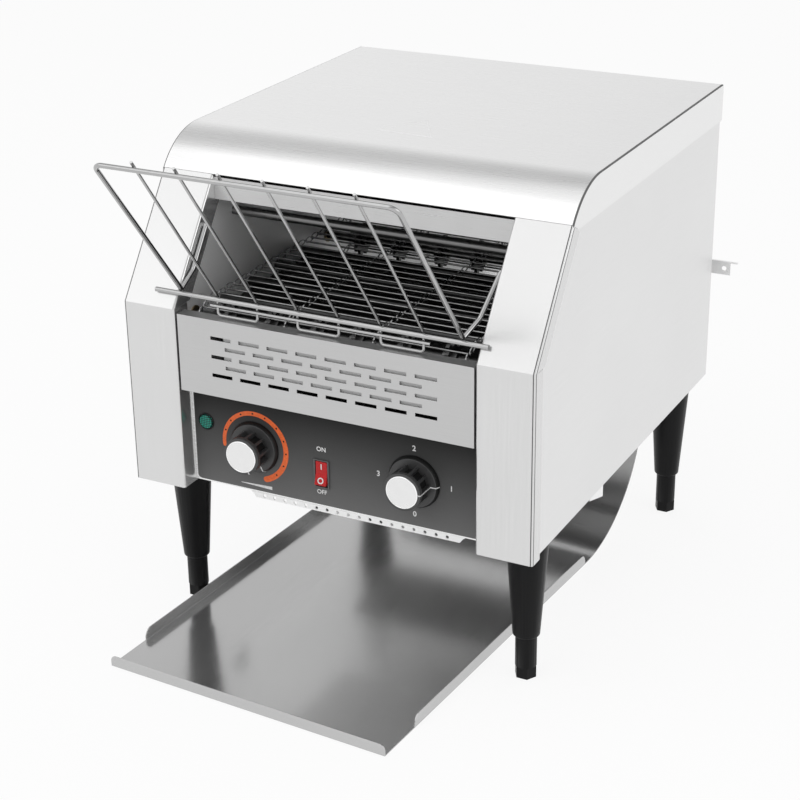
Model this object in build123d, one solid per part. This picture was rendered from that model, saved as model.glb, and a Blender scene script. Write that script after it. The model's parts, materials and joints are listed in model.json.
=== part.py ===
"""Conveyor toaster on four adjustable legs, with a loose toast tray and a hinged feed rack.

Millimetres, +Z up, +Y towards the back. While drawing, y = 0 is the front of the columns
and z = 0 is the worktop. On export every piece moves so that the origin lies at the
bottom centre of the whole object.
"""
import math
import os

from build123d import *

# Sheet metal and clearances
sheet = 1.0
gap = 0.5
seat = 0.3
running = 0.05

# Outer body
body_half_width = 184.0
body_depth = 418.0
top_z = 413.2
side_bottom_z = 132.7
slope_start_z = 290.5
slope_angle = math.radians(54.2)
arc_radius = 66.0
slope_cos = math.cos(slope_angle)
slope_sin = math.sin(slope_angle)
arc_z = top_z - arc_radius
slope_end_z = arc_z + arc_radius * slope_cos
slope_end_y = (slope_end_z - slope_start_z) * slope_cos / slope_sin
arc_y = slope_end_y + arc_radius * slope_sin
flange = 12.0

# Front columns
column_width = 49.0
column_inner_x = body_half_width - column_width
column_drop = 3.4
column_bottom_z = side_bottom_z - column_drop
column_side_flange = 14.0
column_return = 20.0
column_slit = 0.8

# Top cover
cover_flange = 33.2
cover_side_z = top_z - cover_flange
cover_hem = 8.0
cover_back_flange = 22.0

# Front panels
vent_y = 1.4
vent_side_gap = 1.8
vent_half_width = column_inner_x - vent_side_gap
vent_drop = 3.8
vent_height = 67.1
vent_top_z = slope_start_z - vent_drop
vent_bottom_z = vent_top_z - vent_height
vent_ledge = 12.0
vent_slot_length = 19.0
vent_slot_height = 3.0
vent_slot_pitch = 26.4
vent_row_pitch = 8.1
vent_first_row = 18.9
vent_rows = 5
vent_slots = 8
base_z = side_bottom_z - sheet
control_y = 18.5
control_bottom_z = base_z - sheet
fascia_thickness = 0.5
fascia_margin = 2.0
fascia_rise = 1.5
fascia_corner = 4.0

# Controls, heights counted from the control panel's lower edge
colour_x = -74.8
colour_rise = 41.8
colour_z = control_bottom_z + colour_rise
selector_x = 73.3
selector_rise = 41.1
selector_z = control_bottom_z + selector_rise
knob_length = 22.6
knob_lift = 0.4 + fascia_thickness
knob_skirt_height = 4.1
knob_cap_thickness = 0.8
knob_skirt_radius = 20.0
knob_grip_radius = 16.2
knob_cap_radius = 14.5
knob_flutes = 10
knob_flute_radius = 3.4
knob_back_y = control_y - knob_lift
knob_skirt_y = knob_back_y - knob_skirt_height
knob_cap_y = knob_back_y - knob_length
knob_grip_y = knob_cap_y + knob_cap_thickness
control_shaft_radius = 3.0
control_bush_radius = 5.0
control_box = 34.0
colour_box_depth = 30.0
selector_box_depth = 40.0
lamp_inset = 13.6
lamp_x = lamp_inset - column_inner_x
lamp_rise = 56.0
lamp_z = control_bottom_z + lamp_rise
lamp_radius = 6.0
lamp_length = 18.0
switch_x = -11.55
switch_rise = 30.2
switch_z = control_bottom_z + switch_rise
switch_half_x = 7.15
switch_half_z = 12.6
switch_wall = 1.4
switch_depth = 20.0
rocker_depth = 2.5
rocker_pivot_y = control_y + rocker_depth
rocker_up = 10.9
rocker_down = 9.4

# Heating chamber
chamber_x = column_inner_x + sheet
chamber_drop = 23.2
chamber_top_z = top_z - chamber_drop
deck_z = vent_bottom_z + 1.4
baffle_y = slope_end_y + 1.3
baffle_top_z = slope_end_z - 2.8
baffle_height = 19.0
reflector_z = baffle_top_z - baffle_height
guide_space = 38.0
guide_y = body_depth - guide_space
tube_radius = 4.0
tube_pitch = 45.0
tube_count = 4
tube_reach = 14.0
tube_half_length = chamber_x + tube_reach
upper_tube_z = reflector_z - 18.0
upper_tube_y = 100.0
lower_tube_y = 75.0
lower_reflector_margin = 23.0
holder_thickness = 8.0

# Belt drive
front_shaft_y = 32.0
rear_shaft_y = 258.0
shaft_z = slope_start_z - 14.5
shaft_radius = 4.0
shaft_overhang = 6.0
bush_radius = 7.0
bush_collar = 2.0
belt_radius = 16.5
belt_side_gap = 16.0
belt_half_width = chamber_x - belt_side_gap
belt_wire_radius = 0.9
belt_wires = 46
belt_link_width = 2.4
sprocket_shares = (-0.83, -0.5, -0.15, 0.15, 0.5, 0.83)
sprocket_teeth = 8
sprocket_tip = 15.2
sprocket_root = 11.5
sprocket_width = 3.0
drive_width = 4.0
drive_x = body_half_width - 24.0
motor_y = 200.0
motor_drop = 43.0
motor_z = deck_z - motor_drop
motor_length = 50.0
motor_radius = 20.0
gearbox_depth = 28.0
gearbox_half_length = 28.0
gearbox_half_height = 22.0
motor_sprocket_tip = 13.0
motor_sprocket_teeth = 12
rear_sprocket_tip = 16.5
rear_sprocket_teeth = 15
tooth_depth = 1.6
chain_thickness = 3.0

# Base
base_front_y = control_y + sheet + 0.7
drop_margin = 6.0
drop_half_x = chamber_x - drop_margin
drop_front_y = rear_shaft_y + 11.0
drop_rear_y = guide_y - 2 * sheet
fan_x = 18.5
fan_y = 112.0
fan_radius = 37.0
fan_size = 80.0
fan_depth = 25.0
fan_arm = 4.0
fan_hub = 14.0
fan_blades = 7
grille_left_x = -80.0
grille_right_x = 117.0
grille_z = base_z - sheet
grille_lip = 5.2
grille_lip_z = grille_z - grille_lip
grille_slant = 4.0
grille_margin = 12.0
grille_y = control_y - 0.3
grille_depth = 150.0
grille_pitch = 10.0
grille_rows = 8
grille_hole_radius = 1.5
tab_front_y = 124.0
tab_rear_y = 153.5
tab_height = 10.7
tab_step = 2.2

# Legs and feet
leg_inset = 24.5
leg_x = body_half_width - leg_inset
leg_front_y = 47.3
leg_rear_space = 34.7
leg_rear_y = body_depth - leg_rear_space
leg_collar_radius = 19.0
leg_collar = 5.0
leg_top_radius = 17.5
leg_step_radius = 11.4
leg_step_z = 38.7
foot_radius = 9.0
foot_hex_height = 10.0
foot_top_z = 60.0
foot_travel = 26.0

# Feed rack, its cross rod resting on the slope of both columns
rack_x = -6.2
rack_wire_radius = 2.0
rack_thin_radius = 1.25
rack_forward = 101.3
rack_rise = 135.2
rack_side_gap = 8.7
rack_rail_half = column_inner_x - rack_side_gap
rack_rod_along = 14.0
rack_rod_left = -column_inner_x - 20.0
rack_rod_right = column_inner_x + 7.9
rack_stay_left = 32.0 - column_inner_x
rack_stay_right = column_inner_x - 41.0
rack_stay_rise = 8.6
rack_foot_rise = 2.2
rack_foot_z = vent_top_z + rack_foot_rise
rack_end_gap = 33.8
rack_wire_pitch = (rack_rail_half - rack_end_gap) / 2.5
rack_wire_x = rack_wire_pitch / 2
rack_wire_shift = 0.9
rack_tip = 5.0
rack_bend = 8.0
rack_thin_bend = 3.0
rack_pivot_inset = 8.022
rack_pivot_back = 41.445
spare_hole_inset = 9.8
spare_hole_back = 28.5
spare_hole_radius = 3.5
rack_hook_reach = 9.0
rack_arm_share = 0.45
rack_arm_sag = 0.14
rack_arm_bend = 0.2
rack_hole_radius = 2.6
rack_rod_y = rack_rod_along * slope_cos - (rack_wire_radius + seat) * slope_sin
rack_rod_z = slope_start_z + rack_rod_along * slope_sin + (rack_wire_radius + seat) * slope_cos
rack_rail_y = rack_rod_y - rack_forward
rack_rail_z = rack_rod_z + rack_rise

# Toast tray, loose on the worktop and turned a little
tray_turn = -3.71
tray_corner_x = 110.1
tray_corner_y = -109.4
tray_width = 267.9
tray_lip = 10.0
tray_lip_corner = 5.0
tray_flange = 11.0
tray_flange_corner = 8.0
tray_flange_start = 46.0
tray_flange_end = 354.0
tray_flat = 356.0
tray_curve = 117.0
tray_curve_angle = 80.0

# Back: vents, wall spacers, screws and cable gland
back_slot_half = 2.0
back_slot_pitch = 20.0
upper_slots = 12
upper_slot_height = 45.0
lower_slots = 8
lower_slot_height = 40.0
spacer_reach = 23.0
spacer_y = body_depth + spacer_reach
spacer_inner_x = body_half_width - 24.0
spacer_foot = 14.0
spacer_plate_x = body_half_width + 9.5
spacer_lip_x = body_half_width + 16.7
spacer_lip_depth = 2.5
spacer_low_z = 226.0
spacer_height = 13.5
spacer_high_z = spacer_low_z + spacer_height
spacer_hole_x = body_half_width + 3.5
spacer_hole_radius = 2.2
gland_x = -120.0
gland_z = 165.0
gland_radius = 8.0
gland_nut_radius = 12.0
gland_nut = 6.0
gland_length = 14.0
gland_inside = 12.0
gland_bore = 4.5
screw_radius = 3.5
screw_head = 2.0
screw_inset = 10.0
screw_margin = 17.3

# Terminal block
terminal_x = -85.0
terminal_y = 211.0
terminal_length = 50.0
terminal_width = 22.0
terminal_height = 18.0
terminal_holes = 5
terminal_hole_radius = 3.0


def block(x0, x1, y0, y1, z0, z1):
    """Box between two corners."""
    size = Box(x1 - x0, y1 - y0, z1 - z0)
    return Pos((x0 + x1) / 2, (y0 + y1) / 2, (z0 + z1) / 2) * size


def rod_x(x0, x1, y, z, radius):
    """Cylinder along X."""
    turned = Rot(0, 90, 0) * Cylinder(radius, x1 - x0)
    return Pos((x0 + x1) / 2, y, z) * turned


def rod_y(x, y0, y1, z, radius):
    """Cylinder along Y."""
    turned = Rot(90, 0, 0) * Cylinder(radius, y1 - y0)
    return Pos(x, (y0 + y1) / 2, z) * turned


def rod_z(x, y, z0, z1, radius):
    """Cylinder along Z."""
    return Pos(x, y, (z0 + z1) / 2) * Cylinder(radius, z1 - z0)


def side_plate(points, x0, x1):
    """Outline in Y and Z, extruded along X."""
    outline = Plane.YZ.offset((x0 + x1) / 2) * Polygon(*points, align=None)
    return extrude(outline, amount=(x1 - x0) / 2, both=True)


def edge_plate(edges, x0, x1):
    """Outline of lines and arcs in Y and Z, extruded along X."""
    outline = Plane.YZ.offset((x0 + x1) / 2) * make_face(edges)
    return extrude(outline, amount=(x1 - x0) / 2, both=True)


def wire_run(points, radius, bend):
    """Round wire along a line with rounded bends."""
    path = FilletPolyline(*points, radius=bend)
    start = Plane(origin=path @ 0, z_dir=path % 0)
    return sweep(start * Circle(radius), path=path)


def break_point(inset):
    """Corner of upright and slope, moved inwards."""
    along = inset * (1 - slope_sin) / slope_cos
    return (inset, slope_start_z - inset * slope_cos + along * slope_sin)


def slope_point(inset, back=0.0):
    """Upper end of the slope, moved inwards and back down the slope."""
    reach = arc_radius - inset
    return (arc_y - reach * slope_sin - back * slope_cos, arc_z + reach * slope_cos - back * slope_sin)


def arc_point(inset, share):
    """Point on the rounded front edge of the top, share 0 at the slope and 1 at the flat."""
    angle = math.pi / 2 + slope_angle * (1 - share)
    reach = arc_radius - inset
    return (arc_y + reach * math.cos(angle), arc_z + reach * math.sin(angle))


def arc_edge(inset, first, last):
    """Part of the rounded edge."""
    middle = (first + last) / 2
    return ThreePointArc(arc_point(inset, first), arc_point(inset, middle), arc_point(inset, last))


def rack_pivot():
    """Axis of the feed rack, beside the slope."""
    return slope_point(rack_pivot_inset, rack_pivot_back)


def spare_hole():
    """Axis of the unused hole above the rack's pivot."""
    return slope_point(spare_hole_inset, spare_hole_back)


def tube_places(first):
    """Positions of a row of heating tubes."""
    return [first + index * tube_pitch for index in range(tube_count)]


def on_side(side, shape):
    """Right-hand shape for side 1, its mirror image for side -1."""
    if side > 0:
        return shape
    return mirror(shape, about=Plane.YZ)


def make_column(side):
    """Front column with a slope, a flange on the side and a return beside the opening."""
    def band(depth, x0, x1):
        points = [(0, column_bottom_z), (0, slope_start_z), slope_point(0, gap), slope_point(depth, gap),
                  break_point(depth), (depth, column_bottom_z)]
        return side_plate(points, x0, x1)

    outer = body_half_width
    column = band(sheet, column_inner_x, outer)
    fold = band(column_side_flange, outer - sheet, outer)
    column += fold - block(outer - 2 * sheet, outer + sheet, 0, 2 * slope_end_y, cover_side_z - gap, top_z)
    column += band(column_return, column_inner_x, column_inner_x + sheet)
    column -= block(outer - sheet, outer, sheet, column_side_flange + sheet,
                    slope_start_z - column_slit, slope_start_z)
    pivot_y, pivot_z = rack_pivot()
    column -= rod_x(column_inner_x - sheet, column_inner_x + 2 * sheet, pivot_y, pivot_z, rack_hole_radius)
    spare_y, spare_z = spare_hole()
    column -= rod_x(column_inner_x - sheet, column_inner_x + 2 * sheet, spare_y, spare_z, spare_hole_radius)
    return on_side(side, column)


def body_outline(inset, front_y, rear_y, bottom_z):
    """Edges of the side outline, moved inwards."""
    flat_z = top_z - inset
    up = Polyline((front_y, bottom_z), break_point(inset), slope_point(inset))
    back = Polyline((arc_y, flat_z), (rear_y, flat_z), (rear_y, bottom_z), (front_y, bottom_z))
    return [*up.edges(), arc_edge(inset, 0, 1), *back.edges()]


def make_side_panel(side):
    """Flat side with a bottom flange and a rear flange."""
    outer = body_half_width - sheet
    inner = outer - sheet
    rear = body_depth - 2 * sheet
    panel = edge_plate(body_outline(sheet, sheet, rear, side_bottom_z), inner, outer)
    panel += block(inner - flange, inner, base_front_y, rear, side_bottom_z, side_bottom_z + sheet)
    panel += block(inner - flange, inner, rear - sheet, rear, side_bottom_z, cover_side_z)
    return on_side(side, panel)


def make_top_cover():
    """Bent cover: rounded front, flat top, flanges at the sides and at the back."""
    half = body_half_width
    outer_arc = arc_edge(0, 0, 1)
    inner_arc = arc_edge(sheet, 1, 0)
    top_line = Polyline((arc_y, top_z), (body_depth, top_z), (body_depth, top_z - sheet), (arc_y, top_z - sheet))
    front_line = Line(slope_point(sheet), slope_point(0))
    cover = edge_plate([outer_arc, *top_line.edges(), inner_arc, front_line], -half, half)
    dip = slope_end_z - cover_side_z
    nose = 0.42 * dip
    side_line = Polyline((arc_y, top_z), (body_depth, top_z), (body_depth, cover_side_z),
                         (slope_end_y + 4 * nose, cover_side_z), (slope_end_y + nose, slope_end_z - nose),
                         slope_point(0))
    fold = edge_plate([arc_edge(0, 0, 1), *side_line.edges()], half - sheet, half)
    cover += fold
    cover += on_side(-1, fold)
    cover += block(-half, half, body_depth - sheet, body_depth, top_z - cover_back_flange, top_z)
    hem_share = cover_hem / (arc_radius * slope_angle)
    hem_line = Line(arc_point(sheet, hem_share), arc_point(2 * sheet, hem_share))
    hem_front = Line(slope_point(2 * sheet), slope_point(sheet))
    hem = [arc_edge(sheet, 0, hem_share), hem_line, arc_edge(2 * sheet, hem_share, 0), hem_front]
    cover += edge_plate(hem, -column_inner_x + gap, column_inner_x - gap)
    return cover


def make_rear_panel():
    """Flat back with two rows of vent slots and the hole of the cable gland."""
    half = body_half_width - 2 * sheet
    rear = body_depth - sheet
    panel = block(-half, half, rear - sheet, rear, side_bottom_z, top_z - 2 * sheet)
    upper_z = top_z - 2 * upper_slot_height
    lower_z = side_bottom_z + lower_slot_height
    for count, z, height in ((upper_slots, upper_z, upper_slot_height), (lower_slots, lower_z, lower_slot_height)):
        for index in range(count):
            x = (index - (count - 1) / 2) * back_slot_pitch
            panel -= block(x - back_slot_half, x + back_slot_half, rear - 2 * sheet, rear + sheet,
                           z - height / 2, z + height / 2)
    panel -= rod_y(gland_x, rear - 2 * sheet, rear + sheet, gland_z, gland_radius)
    return panel


def make_base_plate():
    """Bottom with the drop opening, the fan opening and a tab on each side."""
    half = body_half_width - 2 * sheet
    plate = block(-half, half, base_front_y, body_depth - 2 * sheet, base_z, base_z + sheet)
    plate -= block(-drop_half_x, drop_half_x, drop_front_y, drop_rear_y, base_z - sheet, base_z + 2 * sheet)
    plate -= rod_z(fan_x, fan_y, base_z - sheet, base_z + 2 * sheet, fan_radius)
    points = [(tab_front_y, base_z), (tab_front_y, base_z - tab_step), (tab_rear_y, base_z - tab_height),
              (tab_rear_y, base_z)]
    tab = side_plate(points, half - sheet, half)
    return plate + tab + on_side(-1, tab)


def make_base_grille():
    """Perforated plate under the fan, with a perforated lip at the front."""
    rear = grille_y + grille_depth
    grille = block(grille_left_x, grille_right_x, grille_y, rear, grille_z - sheet, grille_z)
    low_left = grille_left_x + grille_slant
    low_right = grille_right_x - grille_slant
    lip_points = [(grille_left_x, grille_z), (low_left, grille_lip_z), (low_right, grille_lip_z),
                  (grille_right_x, grille_z)]
    lip = Plane.XZ.offset(-grille_y - sheet / 2) * Polygon(*lip_points, align=None)
    grille += extrude(lip, amount=sheet / 2, both=True)
    grille += block(grille_left_x, grille_right_x, rear - sheet, rear, grille_z, base_z)
    columns = int((grille_right_x - grille_left_x - 2 * grille_margin) / grille_pitch) + 1
    holes = []
    for index in range(columns):
        x = grille_left_x + grille_margin + index * grille_pitch
        holes.append(rod_y(x, grille_y - sheet, grille_y + 2 * sheet, (grille_z + grille_lip_z) / 2,
                           grille_hole_radius))
        for row in range(grille_rows):
            y = fan_y + (row - (grille_rows - 1) / 2) * grille_pitch
            holes.append(rod_z(x, y, grille_z - 2 * sheet, grille_z + sheet, grille_hole_radius))
    return grille - holes


def make_vent_panel():
    """Slotted front between the columns, with a ledge above and a return below."""
    half = vent_half_width
    back = vent_y + sheet
    panel = block(-half, half, vent_y, back, vent_bottom_z, vent_top_z)
    panel += block(-half, half, back, vent_y + vent_ledge, vent_top_z - sheet, vent_top_z)
    panel += block(-half, half, back, control_y + sheet, vent_bottom_z, vent_bottom_z + sheet)
    for side in (-1, 1):
        fold = block(half - sheet, half, back, vent_y + vent_ledge, vent_bottom_z, vent_top_z)
        panel += on_side(side, fold)
    slots = []
    for row in range(vent_rows):
        count = vent_slots - row % 2
        z = vent_bottom_z + vent_first_row + row * vent_row_pitch
        for index in range(count):
            x = (index - (count - 1) / 2) * vent_slot_pitch
            slots.append(block(x - vent_slot_length / 2, x + vent_slot_length / 2, vent_y - sheet, back + sheet,
                               z - vent_slot_height / 2, z + vent_slot_height / 2))
    return panel - slots


def control_holes(front_y, back_y):
    """Openings that the control panel and its fascia share."""
    holes = [rod_y(colour_x, front_y, back_y, colour_z, control_bush_radius)]
    holes.append(rod_y(selector_x, front_y, back_y, selector_z, control_bush_radius))
    holes.append(rod_y(lamp_x, front_y, back_y, lamp_z, lamp_radius))
    holes.append(block(switch_x - switch_half_x + switch_wall / 2, switch_x + switch_half_x - switch_wall / 2,
                       front_y, back_y, switch_z - switch_half_z + switch_wall / 2,
                       switch_z + switch_half_z - switch_wall / 2))
    return holes


def make_control_panel():
    """Recessed steel panel that carries the controls."""
    half = column_inner_x - running
    panel = block(-half, half, control_y, control_y + sheet, control_bottom_z, vent_bottom_z)
    panel += block(-half, half, control_y + sheet, control_y + sheet + flange, control_bottom_z, base_z)
    return panel - control_holes(control_y - sheet, control_y + 2 * sheet)


def make_control_fascia():
    """Dark overlay on the control panel."""
    right = column_inner_x - running
    left = fascia_margin - column_inner_x
    low = control_bottom_z + fascia_rise
    overlay = block(left, right, control_y - fascia_thickness, control_y, low, vent_bottom_z)
    corner = overlay.edges().filter_by(Axis.Y).sort_by(Axis.X)[:2].sort_by(Axis.Z)[0]
    overlay = fillet(corner, fascia_corner)
    return overlay - control_holes(control_y - 2 * sheet, control_y + sheet)


def make_chamber_wall(side):
    """Inner wall beside belt and chamber, with holes for tubes, shafts and rack."""
    inner = chamber_x
    outer = chamber_x + sheet
    rear = body_depth - 4 * sheet
    inset = 2 * sheet
    points = [(inset, side_bottom_z), break_point(inset), slope_point(inset, inset),
              (baffle_y + 8 * sheet, chamber_top_z), (rear, chamber_top_z), (rear, side_bottom_z)]
    wall = side_plate(points, inner, outer)
    pivot_y, pivot_z = rack_pivot()
    spare_y, spare_z = spare_hole()
    places = [(pivot_y, pivot_z, rack_hole_radius), (spare_y, spare_z, spare_hole_radius)]
    for y in (front_shaft_y, rear_shaft_y):
        places.append((y, shaft_z, bush_radius))
    for y in tube_places(upper_tube_y):
        places.append((y, upper_tube_z, tube_radius))
    for y in tube_places(lower_tube_y):
        places.append((y, shaft_z, tube_radius))
    if side > 0:
        places.append((motor_y, motor_z, shaft_radius + gap))
    holes = [rod_x(inner - sheet, outer + sheet, y, z, radius) for y, z, radius in places]
    return on_side(side, wall - holes)


def make_upper_reflector():
    """Ceiling of the chamber with a front baffle behind the cover's edge."""
    half = column_inner_x
    ceiling = block(-half, half, baffle_y, guide_y + sheet, reflector_z, reflector_z + sheet)
    return ceiling + block(-half, half, baffle_y, baffle_y + sheet, reflector_z, baffle_top_z)


def make_lower_reflector():
    """Flat reflector under the lower tubes, inside the belt loop."""
    low = shaft_z - tube_radius - gap - 4 * sheet
    places = tube_places(lower_tube_y)
    front = places[0] - lower_reflector_margin
    back = places[-1] + lower_reflector_margin
    return block(-chamber_x, chamber_x, front, back, low, low + sheet)


def make_tubes(first, z):
    """Row of heating tubes across the chamber."""
    tubes = [rod_x(-tube_half_length, tube_half_length, y, z, tube_radius) for y in tube_places(first)]
    return Compound(children=tubes)


def make_element_holders():
    """Bars outside the chamber walls that carry the tube ends."""
    bars = []
    half = 2 * tube_radius
    for side in (-1, 1):
        x0 = chamber_x + sheet
        x1 = x0 + holder_thickness
        for first, z in ((upper_tube_y, upper_tube_z), (lower_tube_y, shaft_z)):
            places = tube_places(first)
            bar = block(x0, x1, places[0] - half, places[-1] + half, z - half, z + half)
            for y in places:
                bar -= rod_x(x0 - sheet, x1 + sheet, y, z, tube_radius)
            bars.append(on_side(side, bar))
    return Compound(children=bars)


def make_service_deck():
    """Shelf between the chamber and the compartment of the controls."""
    return block(-chamber_x, chamber_x, column_return, drop_front_y - 2 * sheet, deck_z, deck_z + sheet)


def make_drop_wall():
    """Upright wall in front of the drop opening."""
    front = drop_front_y - 2 * sheet
    return block(-chamber_x, chamber_x, front, front + sheet, base_z + sheet, deck_z + sheet)


def make_rear_guide():
    """Upright sheet behind the drop opening."""
    return block(-chamber_x, chamber_x, guide_y, guide_y + sheet, base_z + sheet, reflector_z)


def loop_point(distance, radius):
    """Point at a distance along the belt's loop, from above the front shaft backwards."""
    run = rear_shaft_y - front_shaft_y
    turn = math.pi * belt_radius
    if distance < run:
        return (front_shaft_y + distance, shaft_z + radius)
    if distance < run + turn:
        angle = math.pi / 2 - (distance - run) / belt_radius
        return (rear_shaft_y + radius * math.cos(angle), shaft_z + radius * math.sin(angle))
    if distance < 2 * run + turn:
        return (rear_shaft_y - (distance - run - turn), shaft_z - radius)
    angle = -math.pi / 2 - (distance - 2 * run - turn) / belt_radius
    return (front_shaft_y + radius * math.cos(angle), shaft_z + radius * math.sin(angle))


def loop_band(y0, z0, r0, y1, z1, r1, thickness, x0, x1):
    """Endless band around two wheels, given by their centres and inner radii."""
    reach = math.hypot(y1 - y0, z1 - z0)
    lean = math.degrees(math.atan2(z1 - z0, y1 - y0))

    def outline(extra):
        first = Circle(r0 + extra)
        second = Pos(reach, 0) * Circle(r1 + extra)
        return make_hull(first.edges() + second.edges())

    ring = outline(thickness) - outline(0)
    placed = Plane.YZ.offset((x0 + x1) / 2) * Pos(y0, z0) * Rot(0, 0, lean) * ring
    return extrude(placed, amount=(x1 - x0) / 2, both=True)


def make_conveyor_belt():
    """Wire belt: cross wires joined by bands of links."""
    length = 2 * (rear_shaft_y - front_shaft_y) + 2 * math.pi * belt_radius
    pieces = []
    inner = belt_radius - belt_wire_radius
    for share in (-1, -1 / 3, 1 / 3, 1):
        x = share * belt_half_width
        pieces.append(loop_band(front_shaft_y, shaft_z, inner, rear_shaft_y, shaft_z, inner, 2 * belt_wire_radius,
                                x - belt_link_width / 2, x + belt_link_width / 2))
    for index in range(belt_wires):
        y, z = loop_point(index * length / belt_wires, belt_radius)
        reach = belt_half_width + belt_link_width / 2
        pieces.append(rod_x(-reach, reach, y, z, belt_wire_radius - running))
    return pieces[0].fuse(*pieces[1:])


def make_shaft_bushes():
    """Flanged bushes of both belt shafts."""
    bushes = []
    outer = chamber_x + sheet
    for side in (-1, 1):
        for y in (front_shaft_y, rear_shaft_y):
            bush = rod_x(chamber_x - sheet, outer, y, shaft_z, bush_radius)
            bush += rod_x(outer, outer + 3 * sheet, y, shaft_z, bush_radius + bush_collar)
            bush -= rod_x(chamber_x - 2 * sheet, outer + 4 * sheet, y, shaft_z, shaft_radius + running)
            bushes.append(on_side(side, bush))
    return Compound(children=bushes)


def toothed_disc(teeth, tip, root, width):
    """Disc with round gaps between its teeth, lying on XY."""
    disc = Cylinder(tip, width)
    notch = tip - root
    cuts = []
    for index in range(teeth):
        angle = 2 * math.pi * index / teeth
        cuts.append(Pos(tip * math.cos(angle), tip * math.sin(angle)) * Cylinder(notch, 2 * width))
    return disc - cuts


def disc_on_shaft(disc, x, y, z):
    """Moves a disc from XY onto a shaft along X."""
    return Pos(x, y, z) * Rot(0, 90, 0) * disc


def make_belt_shaft(y, right_end):
    """Shaft with the belt's sprocket discs."""
    shaft = rod_x(-chamber_x - shaft_overhang, right_end, y, shaft_z, shaft_radius)
    disc = toothed_disc(sprocket_teeth, sprocket_tip, sprocket_root, sprocket_width)
    for share in sprocket_shares:
        x = share * belt_half_width
        shaft += disc_on_shaft(disc, x, y, shaft_z)
        shaft += rod_x(x - 2 * sprocket_width, x + 2 * sprocket_width, y, shaft_z, 1.75 * shaft_radius)
    return shaft


def make_rear_shaft():
    """Driven shaft with its chain sprocket."""
    shaft = make_belt_shaft(rear_shaft_y, drive_x + shaft_overhang)
    wheel = toothed_disc(rear_sprocket_teeth, rear_sprocket_tip, rear_sprocket_tip - tooth_depth, drive_width)
    return shaft + disc_on_shaft(wheel, drive_x, rear_shaft_y, shaft_z)


def make_motor_sprocket():
    """Output shaft of the gear motor with its chain sprocket."""
    inside = gearbox_depth / 2 - sheet
    shaft = rod_x(chamber_x - inside, drive_x + shaft_overhang, motor_y, motor_z, shaft_radius)
    wheel = toothed_disc(motor_sprocket_teeth, motor_sprocket_tip, motor_sprocket_tip - tooth_depth, drive_width)
    return shaft + disc_on_shaft(wheel, drive_x, motor_y, motor_z)


def make_gear_motor():
    """Gearbox on the chamber wall with the motor beside it."""
    inner = chamber_x - gearbox_depth
    gearbox = block(inner, chamber_x, motor_y - gearbox_half_length, motor_y + gearbox_half_length,
                    motor_z - gearbox_half_height, motor_z + gearbox_half_height)
    motor = rod_x(inner - motor_length, inner, motor_y, motor_z, motor_radius)
    bore = rod_x(chamber_x - gearbox_depth / 2, chamber_x + sheet, motor_y, motor_z, shaft_radius + running)
    return gearbox + motor - bore


def make_drive_chain():
    """Chain from the motor to the rear shaft."""
    half = drive_width / 2
    return loop_band(motor_y, motor_z, motor_sprocket_tip + gap, rear_shaft_y, shaft_z, rear_sprocket_tip + gap,
                     chain_thickness, drive_x - half, drive_x + half)


def make_fan_housing():
    """Square fan frame with a motor boss held by four arms."""
    low = base_z + sheet
    high = low + fan_depth
    half = fan_size / 2
    arm_half = fan_arm / 2
    reach = fan_radius + sheet
    frame = block(fan_x - half, fan_x + half, fan_y - half, fan_y + half, low, high)
    frame -= rod_z(fan_x, fan_y, low - sheet, high + sheet, fan_radius)
    frame += block(fan_x - reach, fan_x + reach, fan_y - arm_half, fan_y + arm_half, high - fan_arm, high)
    frame += block(fan_x - arm_half, fan_x + arm_half, fan_y - reach, fan_y + reach, high - fan_arm, high)
    return frame + rod_z(fan_x, fan_y, high - fan_arm, high, fan_hub + 2 * sheet)


def make_fan_rotor():
    """Hub with slanted blades."""
    low = base_z + 4 * sheet
    high = base_z + sheet + fan_depth - fan_arm - gap
    rotor = rod_z(fan_x, fan_y, low, high, fan_hub)
    blade_length = fan_radius - fan_hub - sheet
    for index in range(fan_blades):
        blade = Pos(fan_hub + blade_length / 2 - sheet, 0, 0) * Rot(35, 0, 0) * Box(blade_length, 16, 1.5 * sheet)
        rotor += Pos(fan_x, fan_y, (low + high) / 2) * Rot(0, 0, index * 360 / fan_blades) * blade
    return rotor


def make_lamp_bezel():
    """Ring and barrel of the indicator lamp."""
    face_y = control_y - fascia_thickness
    ring = rod_y(lamp_x, face_y - 1.2 * sheet, face_y, lamp_z, lamp_radius + sheet)
    barrel = rod_y(lamp_x, face_y, control_y + lamp_length, lamp_z, lamp_radius)
    return ring + barrel - rod_y(lamp_x, face_y - 2 * sheet, face_y + 4 * sheet, lamp_z, lamp_radius - 0.8)


def make_lamp_lens():
    """Domed lens of the indicator lamp."""
    face_y = control_y - fascia_thickness
    lens = rod_y(lamp_x, face_y - 2.4 * sheet, face_y + 4 * sheet, lamp_z, lamp_radius - 0.8)
    rim = lens.edges().filter_by(GeomType.CIRCLE).sort_by(Axis.Y)[0]
    return fillet(rim, 1.5)


def make_switch_housing():
    """Frame and body of the power switch, open for its rocker."""
    face_y = control_y - fascia_thickness
    x0 = switch_x - switch_half_x
    x1 = switch_x + switch_half_x
    housing = block(x0, x1, face_y - switch_wall, face_y, switch_z - switch_half_z, switch_z + switch_half_z)
    half = switch_wall / 2
    housing += block(x0 + half, x1 - half, face_y, face_y + switch_depth, switch_z - switch_half_z + half,
                     switch_z + switch_half_z - half)
    housing -= block(x0 + switch_wall, x1 - switch_wall, face_y - 2 * switch_wall, face_y + switch_depth / 2 + 1,
                     switch_z - switch_half_z + 1, switch_z + switch_half_z - 1)
    return housing


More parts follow.
